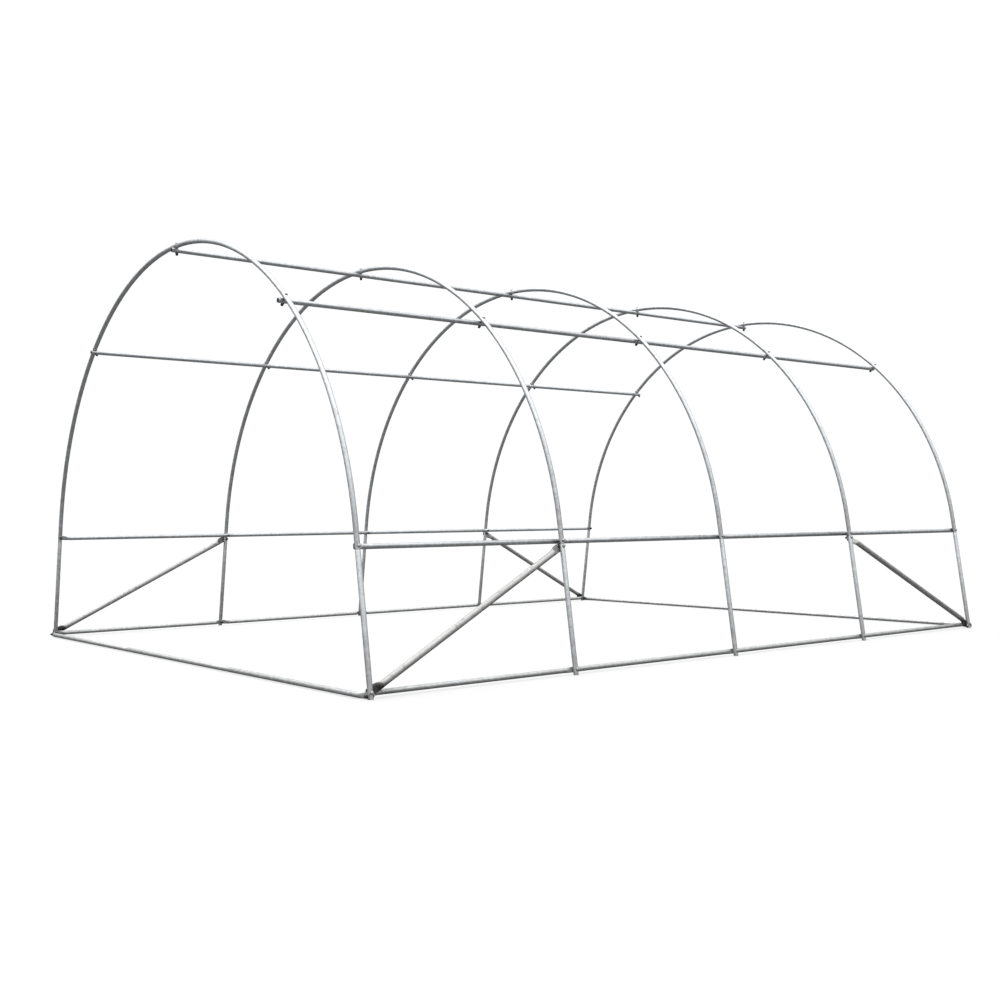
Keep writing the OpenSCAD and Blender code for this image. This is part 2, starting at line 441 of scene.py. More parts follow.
class Shader:
    """Node tree of one material."""

    def __init__(self, name: str) -> None:
        """Creates the material with its Principled shader."""
        self.material = bpy.data.materials.new(name)
        self.material.use_nodes = True
        self.tree = self.material.node_tree
        self.surface = self.tree.nodes["Principled BSDF"]

    @classmethod
    def for_world(cls, world: bpy.types.World) -> "Shader":
        """Node tree of the surroundings in place of a material's."""
        sheet = cls.__new__(cls)
        world.use_nodes = True
        sheet.tree = world.node_tree
        return sheet

    def node(self, kind: str, settings: dict, sockets: dict, output: Union[int, str] = 0) -> Wire:
        """Adds a node.

        Args:
            kind: Blender's type name of the node.
            settings: What is set first; "stops" are the stops of a ramp.
            sockets: Values or wires by socket name or number.
            output: Name or number of the output wanted.

        Returns:
            The output, ready for sums.
        """
        made = self.tree.nodes.new(kind)
        for key, value in settings.items():
            if key == "stops":
                self._set_stops(made.color_ramp, value)
            else:
                setattr(made, key, value)
        for key, value in sockets.items():
            self.feed(made.inputs[key], value)
        return Wire(self, made.outputs[output])

    @staticmethod
    def _set_stops(ramp: bpy.types.ColorRamp, stops: Sequence[tuple[float, float]]) -> None:
        """Gives a ramp its grey stops."""
        while len(ramp.elements) < len(stops):
            ramp.elements.new(1.0)
        for element, (place, grey) in zip(ramp.elements, stops):
            element.position = place
            element.color = (grey, grey, grey, 1.0)

    def feed(self, socket: bpy.types.NodeSocket, value: Union[Value, tuple]) -> None:
        """Links a wire to a socket, or sets the socket to a constant."""
        if isinstance(value, Wire):
            self.tree.links.new(value.socket, socket)
        else:
            socket.default_value = value

    def place(self) -> Wire:
        """Object coordinates, in metres of the tunnel's frame."""
        return self.node("ShaderNodeTexCoord", {}, {}, "Object")

    def noise(self, scale: float, detail: float, roughness: float = 0.55,
              where: Optional[Wire] = None) -> Wire:
        """Noise between 0 and 1 on Object coordinates."""
        return self.node("ShaderNodeTexNoise", {}, {
            "Vector": where or self.place(), "Scale": scale, "Detail": detail,
            "Roughness": roughness}, "Fac")

    def ramp(self, value: Wire, stops: Sequence[tuple[float, float]]) -> Wire:
        """Runs a value through a ramp of grey stops."""
        return self.node("ShaderNodeValToRGB", {"stops": stops}, {"Fac": value})

    def blend(self, mask: Value, low: Union[Wire, tuple], high: Union[Wire, tuple]) -> Wire:
        """Mixes two colours."""
        return self.node("ShaderNodeMix", {"data_type": "RGBA"}, {0: mask, 6: low, 7: high}, 2)

    def surface_input(self, name: str, value: Union[Value, tuple]) -> None:
        """Feeds one socket of the Principled shader."""
        self.feed(self.surface.inputs[name], value)

    def bump(self, height: Wire, depth: float, strength: float) -> None:
        """Lets a height in 0 to 1 stand proud by a depth in metres."""
        self.surface_input("Normal", self.node("ShaderNodeBump", {}, {
            "Height": height, "Distance": depth, "Strength": strength}, "Normal"))


def grey(value: float, warmth: float = 0.0) -> tuple[float, float, float, float]:
    """Grey with a touch of warmth, or of coolness below nought."""
    return (value * (1 + warmth), value, value * (1 - warmth), 1.0)


@dataclass(frozen=True)
class GalvanisedTube:
    """Hot-dip galvanised tube: crystals, dull drifts, rub marks, dust near the ground, and optional
    painted shade at the foot.
    """

    name: str
    bright: float = 0.50
    dull: float = 0.32
    warmth: float = -0.025
    roughness: float = 0.30
    crystal_scale: float = 85.0
    drift_scale: float = 5.0
    grain_scale: float = 700.0
    rub_scale: float = 38.0
    rub_depth: float = 0.35
    rub_tone: float = 0.62
    dust_scale: float = 55.0
    dust_height: float = 0.09
    dust_most: float = 0.50
    dust_tone: float = 0.19
    edge_tint: float = 0.45
    # painted shade: how strongly, how dark and over which heights the brace's pressed foot is
    # darkened just above the floor
    foot_painted_shade: float = 0.0
    foot_painted_shade_tone: float = 0.03
    foot_painted_shade_heights: tuple[float, float] = (0.040, 0.058)
    bump_depth: float = 0.00012
    # what crystals, drifts and grain add to the tone, and where it starts
    SHINE = (0.55, 0.75, 0.20, -0.28)
    # what crystals, rub marks, dust and dull drifts add to the roughness
    ROUGHER = (0.14, 0.16, 0.22, 0.10)
    RUB_STOPS = ((0.54, 0.0), (0.70, 1.0))
    DUST_STOPS = ((0.38, 0.15), (0.62, 1.0))

    def make(self) -> bpy.types.Material:
        """Builds the material."""
        sheet = Shader(self.name)
        place = sheet.place()
        facet = self._facet(sheet, place)
        drift = sheet.noise(self.drift_scale, 5.0, 0.6, place)
        grain = sheet.noise(self.grain_scale, 3.0, 0.6, place)
        rubbed = sheet.ramp(sheet.noise(self.rub_scale, 6.0, 0.7, place), self.RUB_STOPS)
        dust = self._dust(sheet, place, grain)
        by_facet, by_drift, by_grain, base = self.SHINE
        shine = by_facet * facet + by_drift * drift + by_grain * grain + base
        tone = sheet.blend(shine, grey(self.dull, self.warmth), grey(self.bright, self.warmth))
        tone = sheet.blend(rubbed * self.rub_depth, tone, grey(self.dull * self.rub_tone, 0.03))
        tone = sheet.blend(dust, tone, grey(self.dust_tone, 0.10))
        # painted shade: darkens the tone towards near black between two heights above the floor,
        # standing in for the shade on the brace's pressed foot
        if self.foot_painted_shade:
            low, high = self.foot_painted_shade_heights
            foot = self._near_floor(sheet, place, low, high, self.foot_painted_shade)
            tone = sheet.blend(foot, tone, grey(self.foot_painted_shade_tone))
        sheet.surface_input("Base Color", tone)
        by_facet, by_rub, by_dust, by_drift = self.ROUGHER
        sheet.surface_input("Roughness", self.roughness + by_facet * facet + by_rub * rubbed
                            + by_dust * dust + by_drift * (1 - drift))
        sheet.surface_input("Metallic", 1 - 0.85 * dust)
        sheet.surface_input("Specular Tint", grey(self.edge_tint))
        sheet.bump(0.6 * facet + 0.4 * grain, self.bump_depth, 0.55)
        return sheet.material

    def _facet(self, sheet: Shader, place: Wire) -> Wire:
        """Shade of each zinc crystal, its border frayed by a small offset."""
        ragged = sheet.node("ShaderNodeTexNoise", {}, {
            "Vector": place, "Scale": 160.0, "Detail": 2.0}, "Color")
        offset = sheet.node("ShaderNodeVectorMath", {"operation": "SCALE"}, {
            0: ragged, "Scale": 0.006})
        wander = sheet.node("ShaderNodeVectorMath", {"operation": "ADD"}, {0: place, 1: offset})
        crystal = sheet.node("ShaderNodeTexVoronoi", {"feature": "F1"}, {
            "Vector": wander, "Scale": self.crystal_scale, "Randomness": 1.0}, "Color")
        return sheet.node("ShaderNodeSeparateColor", {}, {"Color": crystal}, "Red")

    @staticmethod
    def _near_floor(sheet: Shader, place: Wire, low: float, high: float, most: float) -> Wire:
        """Mask that falls from its most at a low height to nothing at a high one."""
        height = sheet.node("ShaderNodeSeparateXYZ", {}, {"Vector": place}, "Z")
        return sheet.node("ShaderNodeMapRange", {"clamp": True}, {
            "Value": height, "From Min": low, "From Max": high, "To Min": most, "To Max": 0.0})

    def _dust(self, sheet: Shader, place: Wire, grain: Wire) -> Wire:
        """Mask of the soil dust splashed on the lowest part of the frame."""
        low = self._near_floor(sheet, place, 0.0, self.dust_height, self.dust_most)
        cloud = sheet.noise(self.dust_scale, 5.0, 0.7, place)
        return low * sheet.ramp(cloud * 0.7 + grain * 0.3, self.DUST_STOPS)


@dataclass(frozen=True)
class PlatedBolt:
    """Bright zinc-plated bolts and washers with faint turning marks."""

    name: str = "plated_bolt"
    bright: float = 0.42
    dull: float = 0.24
    roughness: float = 0.36
    cloud_scale: float = 160.0
    grain_scale: float = 1500.0
    bump_depth: float = 0.00005

    def make(self) -> bpy.types.Material:
        """Builds the material."""
        sheet = Shader(self.name)
        cloud = sheet.noise(self.cloud_scale, 4.0)
        grain = sheet.noise(self.grain_scale, 2.0)
        sheet.surface_input("Base Color", sheet.blend(
            cloud * 0.8 + grain * 0.3, grey(self.dull, 0.01), grey(self.bright, 0.02)))
        sheet.surface_input("Roughness", self.roughness + 0.22 * cloud)
        sheet.surface_input("Metallic", 1.0)
        sheet.bump(grain, self.bump_depth, 0.4)
        return sheet.material


@dataclass(frozen=True)
class CapPlastic:
    """Moulded black caps over the nuts, with a fine matt texture and pale dust."""

    name: str = "cap_plastic"
    tone: float = 0.012
    dust_tone: float = 0.05
    roughness: float = 0.42
    pore_scale: float = 1800.0
    pore_depth: float = 0.00004
    dust_scale: float = 120.0

    def make(self) -> bpy.types.Material:
        """Builds the material."""
        sheet = Shader(self.name)
        pores = sheet.noise(self.pore_scale, 2.0)
        dust = sheet.ramp(sheet.noise(self.dust_scale, 4.0), ((0.5, 0.0), (0.8, 1.0)))
        sheet.surface_input("Base Color", sheet.blend(
            dust * 0.3, grey(self.tone), grey(self.dust_tone)))
        sheet.surface_input("Roughness", self.roughness + 0.2 * dust + 0.1 * pores)
        sheet.bump(pores, self.pore_depth, 0.4)
        return sheet.material


@dataclass(frozen=True)
class StudioFloor:
    """Pale, nearly white sweep that the frame stands on."""

    name: str = "studio_floor"
    tone: float = 0.12
    lift: float = 0.69
    cloud_scale: float = 0.8
    cloud_depth: float = 0.015

    def make(self) -> bpy.types.Material:
        """Builds the material: the camera sees it paler than the tubes' undersides do."""
        sheet = Shader(self.name)
        cloud = sheet.noise(self.cloud_scale, 2.0)
        sheet.surface_input("Base Color", sheet.blend(
            cloud, grey(self.tone * (1 - self.cloud_depth)), grey(self.tone)))
        sheet.surface_input("Roughness", 0.9)
        sheet.surface_input("Specular IOR Level", 0.0)
        direct = sheet.node("ShaderNodeLightPath", {}, {}, "Is Camera Ray")
        sheet.surface_input("Emission Color", sheet.blend(direct, grey(0.0), grey(self.lift)))
        sheet.surface_input("Emission Strength", 1.0)
        return sheet.material


@dataclass
class Assembly:
    """Base of the sub-assemblies: hands in finished pieces and keeps count of them."""

    size: Layout
    finish: bpy.types.Material
    pieces: list[bpy.types.Object] = field(default_factory=list, init=False)

    def stand_for(self, node: str, source: bpy.types.Object, place: Matrix,
                  slot: str = "frame_tube") -> None:
        """Places a copy of a modelled piece and hands it in for its CAD node.

        Args:
            node: The CAD node.
            source: The piece that was modelled once.
            place: Matrix from the source's frame to the tunnel's frame.
            slot: Name of a material slot, only logged.
        """
        self.hand_in(copy_piece(source, node + "_tube", place), slot, self.finish, node)

    def hand_in(self, piece: bpy.types.Object, slot: str, finish: bpy.types.Material,
                *nodes: str) -> None:
        """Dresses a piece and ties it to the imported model.

        Args:
            piece: The finished piece.
            slot: Material slot of the record.
            finish: The piece's material.
            nodes: CAD nodes that the piece stands for.
        """
        piece.data.materials.clear()
        piece.data.materials.append(finish)
        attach(piece, "root")
        if nodes:
            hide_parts(*nodes)
        self.pieces.append(piece)
        LOG.info("%s: %d faces, slot %s", piece.name, len(piece.data.polygons), slot)


@dataclass
class Hoops(Assembly):
    """Five hoops, each of two legs, two side bows and a crown bow."""

    CROWN_NECK = 0.25
    end: TubeEnd = field(default_factory=TubeEnd)
    below_floor: float = 0.006
    step: float = math.radians(1.25)
    hidden: float = 0.012

    def build(self) -> None:
        """Models each member once and copies it to its places."""
        leg, side_bow, crown = self._leg(), self._side_bow(), self._crown_bow()
        for number in HOOPS:
            y = self.size.hoop_y(number)
            for side in Side:
                place = mirror_x(side) @ Matrix.Translation((0, y, 0))
                self.stand_for(f"{side.label}_leg_{number}", leg, place)
                self.stand_for(f"{side.label}_bow_{number}", side_bow, place)
            self.stand_for(f"crown_bow_{number}", crown, Matrix.Translation((0, y, 0)))
        drop(leg, side_bow, crown)

    def _up_leg(self, name: str, height: float) -> Sweep:
        """Starts an open tube that sets off up the right leg's axis at a height."""
        leg = self.size.leg_frame(Side.RIGHT)
        up = (leg.to_3x3() @ Z_AXIS).normalized()
        return self.end.open_start(name, leg @ Vector((0, 0, height)), up, self.size)

    def _leg(self) -> bpy.types.Object:
        """Right leg at the middle hoop: cut level at the floor, reduced at its upper end."""
        size, end = self.size, self.end
        sweep = self._up_leg("leg", -self.below_floor)
        sweep.straight(size.leg_joint - end.shoulder - end.neck + self.below_floor - end.chamfer)
        sweep.straight(end.shoulder, size.tube_r - end.neck_drop).straight(end.neck + self.hidden)
        bpy.ops.mesh.select_all(action="SELECT")
        bpy.ops.mesh.bisect(plane_co=(0, 0, 0), plane_no=-Z_AXIS, clear_outer=True)
        bpy.ops.mesh.bridge_edge_loops()
        return sweep.finish()

    def _side_bow(self) -> bpy.types.Object:
        """Right side bow at the middle hoop: a straight stub, then the arc to the shoulder."""
        size, end = self.size, self.end
        sweep = self._up_leg("side_bow", size.leg_joint)
        sweep.straight(size.tangent_height - size.leg_joint - end.chamfer)
        turn = size.seam_angle - size.lean - end.chamfer / size.bow_r
        sweep.bend(turn, self._hub, -Y_AXIS, steps=round(turn / self.step))
        sweep.straight(end.chamfer, size.tube_r - end.chamfer)
        sweep.straight(0.0, size.tube_r - size.wall)
        sweep.bend(-2 * self.step, self._hub, -Y_AXIS, steps=2)
        return sweep.finish()

    def _crown_bow(self) -> bpy.types.Object:
        """Crown bow at the middle hoop, reduced at both ends."""
        size, end = self.size, self.end
        neck_r = size.tube_r - end.neck_drop
        inside = self.hidden / size.bow_r
        neck = end.neck * self.CROWN_NECK / size.bow_r
        shoulder = end.shoulder / size.bow_r
        first = size.seam_angle - inside
        start = size.bow_point(first, size.bow_r)
        heading = Vector((-math.sin(first), 0, math.cos(first)))
        arc = math.pi - 2 * (size.seam_angle + neck + shoulder)
        sweep = Sweep("crown_bow", start, heading, neck_r)
        for angle, steps, radius in ((inside + neck, 1, neck_r), (shoulder, 1, size.tube_r),
                                     (arc, round(arc / self.step), size.tube_r),
                                     (shoulder, 1, neck_r), (inside + neck, 1, neck_r)):
            sweep.bend(angle, self._hub, -Y_AXIS, steps, radius)
        return sweep.finish()

    @property
    def _hub(self) -> Vector:
        """Centre of the bows at the middle hoop."""
        return Vector((0, 0, self.size.bow_z))


@dataclass(frozen=True)
class PressedTube:
    """Tube with both ends pressed flat, from bolt to bolt along Z; its flats lie across X."""

    # corner of a flat: shares of `rounded` along the tube and off the half width
    CORNER = ((0.0, 0.55), (0.35, 0.18), (1.0, 0.0))
    MID_FLAT = 0.55
    # how far along the opening each ring lies, from the flat to the round tube
    OPENING_RINGS = (0.1, 0.22, 0.36, 0.5, 0.64, 0.78, 0.9, 1.0)
    NARROWING = 1.5
    # seam: shift along the tube and drop of the radius, in metres
    SEAM = ((-0.0030, 0.0), (-0.0005, 0.0013), (0.0010, 0.0013), (0.0010, 0.0004), (0.0014, 0.0))
    # how a corner of the mesh is known to lie on one face of a flat
    SLACK = 1e-5
    FACE_SHARE = 0.06

    length: float
    radius: float
    width: float = 0.022
    reach: float = 0.014
    opening: float = 0.034
    past_bolt: float = 0.0095
    flat: float = 0.0026
    rounded: float = 0.0055
    seams: tuple[float, ...] = ()

    @property
    def rise(self) -> float:
        """Distance from the middle of a flat to the tube's axis: one side stays flush."""
        return self.radius - self.flat / 2

    def _end_rings(self) -> list[tuple[float, float, float, float]]:
        """Rings of one end: place along Z, half thickness, half width, middle in X."""
        thin, wide = self.flat / 2, self.width / 2
        rings = [(-self.past_bolt + along * self.rounded, thin, wide - off * self.rounded, 0.0)
                 for along, off in self.CORNER]
        rings += [(self.reach * self.MID_FLAT, thin, wide, 0.0), (self.reach, thin, wide, 0.0)]
        for share in self.OPENING_RINGS:
            open_up = share * share * (3 - 2 * share)
            narrow = share ** self.NARROWING
            rings.append((self.reach + self.opening * share,
                          thin + (self.radius - thin) * open_up,
                          wide + (self.radius - wide) * narrow,
                          self.rise * open_up))
        return rings

    def _seam_rings(self) -> list[tuple[float, float, float, float]]:
        """Rings of the seams along the round part."""
        return [(place + shift, self.radius - less, self.radius - less, self.rise)
                for place in self.seams for shift, less in self.SEAM]

    def build(self, name: str) -> Sweep:
        """Draws the tube and presses its ends.

        Args:
            name: Name of the piece.

        Returns:
            The sweep, still open in edit mode.
        """
        near = self._end_rings()
        far = [(self.length - z, hx, hy, cx) for z, hx, hy, cx in reversed(near)]
        rings = near + self._seam_rings() + far
        z, thick, wide, middle = rings[0]
        sweep = Sweep(name, Vector((middle, 0, z)), Z_AXIS, 1.0)
        bpy.ops.transform.resize(value=(thick, wide, 1), center_override=sweep.centre)
        for z, half_x, half_y, middle in rings[1:]:
            step = Vector((middle, 0, z)) - sweep.centre
            sweep.section(step, (half_x / thick, half_y / wide))
            thick, wide = half_x, half_y
        self._press(sweep, 1)
        self._press(sweep, -1)
        return sweep

    def _press(self, sweep: Sweep, face: int) -> None:
        """Flattens one face of both ends into a plane."""
        plane = face * self.flat / 2

        def on_face(corner: Vector) -> bool:
            """Whether a corner belongs to this face of a flat."""
            in_flat = min(corner.z, self.length - corner.z) < self.reach + self.SLACK
            return in_flat and corner.x * face > self.flat * self.FACE_SHARE

        sweep.pick(on_face)
        bpy.ops.transform.resize(value=(0, 1, 1), center_override=(plane, 0, 0))


@dataclass
class LongRails(Assembly):
    """Hip rails and purlins: straight runs of tubes that slide into one another."""

    end: TubeEnd = field(default_factory=TubeEnd)
    front_overhang: float = 0.024
    back_overhang: float = 0.012
    seam_offset: float = 0.034

    def build(self) -> None:
        """Builds the two hip rails and the three purlins."""
        size = self.size
        rail = self._hip_rail()
        for side in Side:
            place = (size.leg_frame(side)
                     @ Matrix.Translation((-size.first_tab, size.hoop_y(1), size.hip_height))
                     @ ALONG_WALL)
            self.stand_for(f"{side.label}_hip_rail", rail, place)
        purlin = self._purlin()
        reach = size.bow_r - size.rail_offset
        for name, turn in (("left", 1), ("ridge", 0), ("right", -1)):
            angle = math.pi / 2 + turn * size.shoulder_angle
            place = Matrix.Translation(size.bow_point(angle, reach))
            self.stand_for(f"{name}_purlin", purlin, place)
        drop(rail, purlin)

    def _hip_rail(self) -> bpy.types.Object:
        """Hip rail along Z from corner leg to corner leg, its two ends pressed flat."""
        size = self.size
        seams = tuple(bays * size.bay + shift for bays, shift in
                      ((1, self.seam_offset), (2, self.seam_offset), (3, -self.seam_offset)))
        return PressedTube(4 * size.bay, size.tube_r, seams=seams).build("hip_run").finish()

    def _purlin(self) -> bpy.types.Object:
        """Purlin on the Y axis, open at both ends and with a seam in each inner bay."""
        size, end = self.size, self.end
        start = size.hoop_y(1) - self.front_overhang
        stop = size.hoop_y(5) + self.back_overhang
        seams = ((size.hoop_y(2) + self.seam_offset, True),
                 (size.hoop_y(3) + self.seam_offset, True),
                 (size.hoop_y(4) - self.seam_offset, False))
        sweep = end.open_start("purlin_run", Vector((0, start, 0)), Y_AXIS, size)
        for place, reduced_first in seams:
            sweep.straight(place - end.seam_length / 2 - sweep.centre.y)
            end.seam(sweep, size, reduced_first)
        sweep.straight(stop - end.chamfer - sweep.centre.y)
        return end.open_stop(sweep, size).finish()


@dataclass
class BaseRails(Assembly):
    """Rails just above the floor: four down each side and one across each end."""

    end_joint: float = 0.500

    def build(self) -> None:
        """Builds the side rails bay by bay, then the two end rails."""
        for side in Side:
            for number in BAYS:
                self._side_rail(side, number)
        self._end_rails()

    def _side_rail(self, side: Side, number: int) -> None:
        """Side rail of one bay; at a shared bolt its front flat lies over the rail before it."""
        size = self.size
        corner = size.second_tab if side is Side.RIGHT else size.first_tab
        front = corner if number == 1 else size.second_tab
        back = corner if number == 4 else size.first_tab
        shift = front - back
        length = math.hypot(size.bay, shift)
        place = (size.leg_frame(side)
                 @ Matrix.Translation((-front, size.hoop_y(number), size.foot_bolt))
                 @ Matrix.Rotation(-math.asin(shift / length), 4, "Z") @ ALONG_WALL)
        source = PressedTube(length, size.tube_r).build("side_rail").finish()
        self.stand_for(f"{side.label}_base_rail_{number}", source, place)
        drop(source)

    def _end_rails(self) -> None:
        """Rails across the two ends, each with two seams."""
        size = self.size
        half = size.half_span - size.end_rail_height * math.tan(size.lean)
        seams = (half - self.end_joint, half + self.end_joint)
        source = PressedTube(2 * half, size.tube_r, seams=seams).build("end_rail").finish()
        for end in End:
            place = (mirror_y(end)
                     @ Matrix.Translation((-half, size.hoop_y(1) - size.first_tab,
                                           size.end_rail_height)) @ ACROSS_END)
            self.stand_for(f"{end.label}_base_rail", source, place)
        drop(source)


@dataclass
class Braces(Assembly):
    """Four stouter braces from the corner feet up to the next leg."""

    radius: float = 0.0125
    width: float = 0.034
    reach: float = 0.034
    opening: float = 0.024
    past_bolt: float = 0.0095
    foot_cut: float = 0.003
    top_cut: float = 0.008

    def build(self) -> None:
        """Models the brace of each wall and copies it to both ends."""
        size = self.size
        for side in Side:
            source = self._source(side is Side.RIGHT)
            for end in End:
                place = (mirror_y(end) @ size.leg_frame(side, size.hoop_y(1))
                         @ mirror_x(side))
                self.stand_for(f"{end.label}_{side.label}_brace", source, place, "brace_tube")
            drop(source)

    def _source(self, inside: bool) -> bpy.types.Object:
        """Brace in the right wall's frame, its flats cut off along the legs' edge.

        Args:
            inside: Whether it lies inside the legs, where its head ends under the hip rail.

        Returns:
            The brace.
        """
        size = self.size
        rise = size.brace_head - size.foot_bolt
        length = math.hypot(rise, size.bay)
        tail = self.past_bolt + self.width / 2
        tube = PressedTube(length, self.radius, self.width, self.reach, self.opening, tail,
                           size.flat)
        raw = tube.build("raw_brace").finish()
        lean = Matrix.Rotation(-math.atan2(size.bay, rise), 4, "X")
        place = Matrix.Translation((-size.first_tab, 0, size.foot_bolt)) @ lean
        piece = copy_piece(raw, "brace", place)
        drop(raw)
        cuts = [(Vector((0, -self.past_bolt, 0)), -Y_AXIS),
                (Vector((0, size.bay + self.past_bolt, 0)), Y_AXIS),
                (Vector((0, 0, self.foot_cut)), -Z_AXIS)]
        if inside:
            cuts.append((Vector((0, 0, size.hip_height - self.top_cut)), Z_AXIS))
        for point, normal in cuts:
            edit_whole(piece)
            bpy.ops.mesh.bisect(plane_co=point, plane_no=normal, use_fill=True,
                                clear_outer=True)
        face_outwards(piece)
        return piece


@dataclass(frozen=True)
class BoltMake:
    """Sizes of one bolt with its washers, nut and cap."""

    # rings of a domed top: share of the height added and of the full radius
    HEAD_DOME = ((0.30, 0.86), (0.17, 0.60), (0.08, 0.30))
    CAP_DOME = ((0.62, 0.96), (0.12, 0.84), (0.08, 0.60), (0.04, 0.30))
    # share of the head's height under its dome, and of the nut's over its chamfer
    HEAD_SIDE = 0.45
    NUT_SIDE = 0.86
    NUT_CHAMFER = 0.88
    TIP = 0.7
    shank_r: float = 0.003
    head_r: float = 0.0060
    head_h: float = 0.0042
    washer_r: float = 0.0072
    washer_h: float = 0.0012
    washer_edge: float = 0.2
    nut_r: float = 0.0055
    nut_h: float = 0.0050
    cap_r: float = 0.0060
    cap_h: float = 0.0115
    cap_flange: float = 1.14
    cap_flange_h: float = 0.0012
    cap_step: float = 0.0004
    past_nut: float = 0.001
    tip_h: float = 0.0008

    def metal(self, grip: float) -> bpy.types.Object:
        """Bolt along Z: its head stands on Z = 0 and its nut under Z = -grip.

        Args:
            grip: Thickness of what the bolt holds together.

        Returns:
            Head, washers, shank and nut as one piece.
        """
        top = self.washer_h
        head = Sweep("bolt_head", Vector((0, 0, top)), Z_AXIS, self.head_r, 20)
        head.straight(self.head_h * self.HEAD_SIDE)
        for rise, share in self.HEAD_DOME:
            head.straight(self.head_h * rise, self.head_r * share)
        parts = [head.finish(), self._washer("washer", 0.0), self._washer("lower_washer",
                                                                          -grip - top)]
        shank = Sweep("shank", Vector((0, 0, top)), -Z_AXIS, self.shank_r, 16)
        shank.straight(grip + 2 * top + self.nut_h + self.past_nut)
        parts.append(shank.straight(self.tip_h, self.shank_r * self.TIP).finish())
        nut = Sweep("nut", Vector((0, 0, -grip - top)), -Z_AXIS, self.nut_r, 6)
        nut.straight(self.nut_h * self.NUT_SIDE)
        nut.straight(self.nut_h * (1 - self.NUT_SIDE), self.nut_r * self.NUT_CHAMFER)
        return join_pieces(parts + [nut.finish()], f"bolt_{grip:.4f}")

    def _washer(self, name: str, low: float) -> bpy.types.Object:
        """Washer whose lower face is at a height."""
        edge = self.washer_h * self.washer_edge
        sweep = Sweep(name, Vector((0, 0, low)), Z_AXIS, self.washer_r - edge, 24)
        sweep.straight(edge, self.washer_r).straight(self.washer_h - 2 * edge)
        return sweep.straight(edge, self.washer_r - edge).finish()

    def cap(self, grip: float) -> bpy.types.Object:
        """Black cap over the nut of a bolt with this grip."""
        low = -grip - self.washer_h
        sweep = Sweep(f"cap_{grip:.4f}", Vector((0, 0, low)), -Z_AXIS,
                      self.cap_r * self.cap_flange, 24)
        sweep.straight(self.cap_flange_h).straight(self.cap_step, self.cap_r)
        for rise, share in self.CAP_DOME:
            sweep.straight(self.cap_h * rise, self.cap_r * share)
        return sweep.finish()


